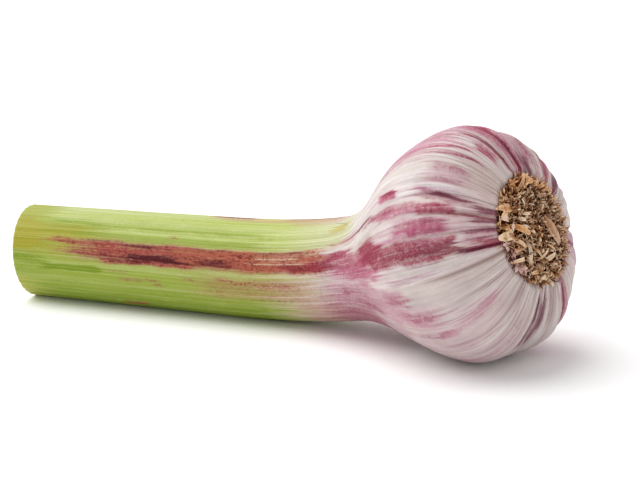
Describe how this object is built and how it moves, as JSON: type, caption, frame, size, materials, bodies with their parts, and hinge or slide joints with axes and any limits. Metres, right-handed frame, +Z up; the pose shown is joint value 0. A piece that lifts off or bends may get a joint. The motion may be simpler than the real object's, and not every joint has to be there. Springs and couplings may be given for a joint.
{
  "type": "garlic bulb",
  "caption": "Head of fresh purple garlic lying on its side, with a cut length of green stalk and a dry root tuft.",
  "frame": {"origin": "middle of the small flat spot that the head rests on", "axes": "+X from the cut stalk towards the root end, +Z up, -Y the side towards which the root end turns"},
  "size_m": [0.1619, 0.0591, 0.06],
  "materials": {
    "bulb_skin": "papery cream skin with purple-pink streaks, faint satin sheen",
    "green_sheath": "fresh green leaf sheath with fine ribs and a red-brown stained band, satin",
    "dry_root": "dry, fibrous and matte"
  },
  "bodies": {
    "root": {"bulb": "bulb_skin", "stalk": "green_sheath", "roots": "dry_root"}
  },
  "joints": []
}
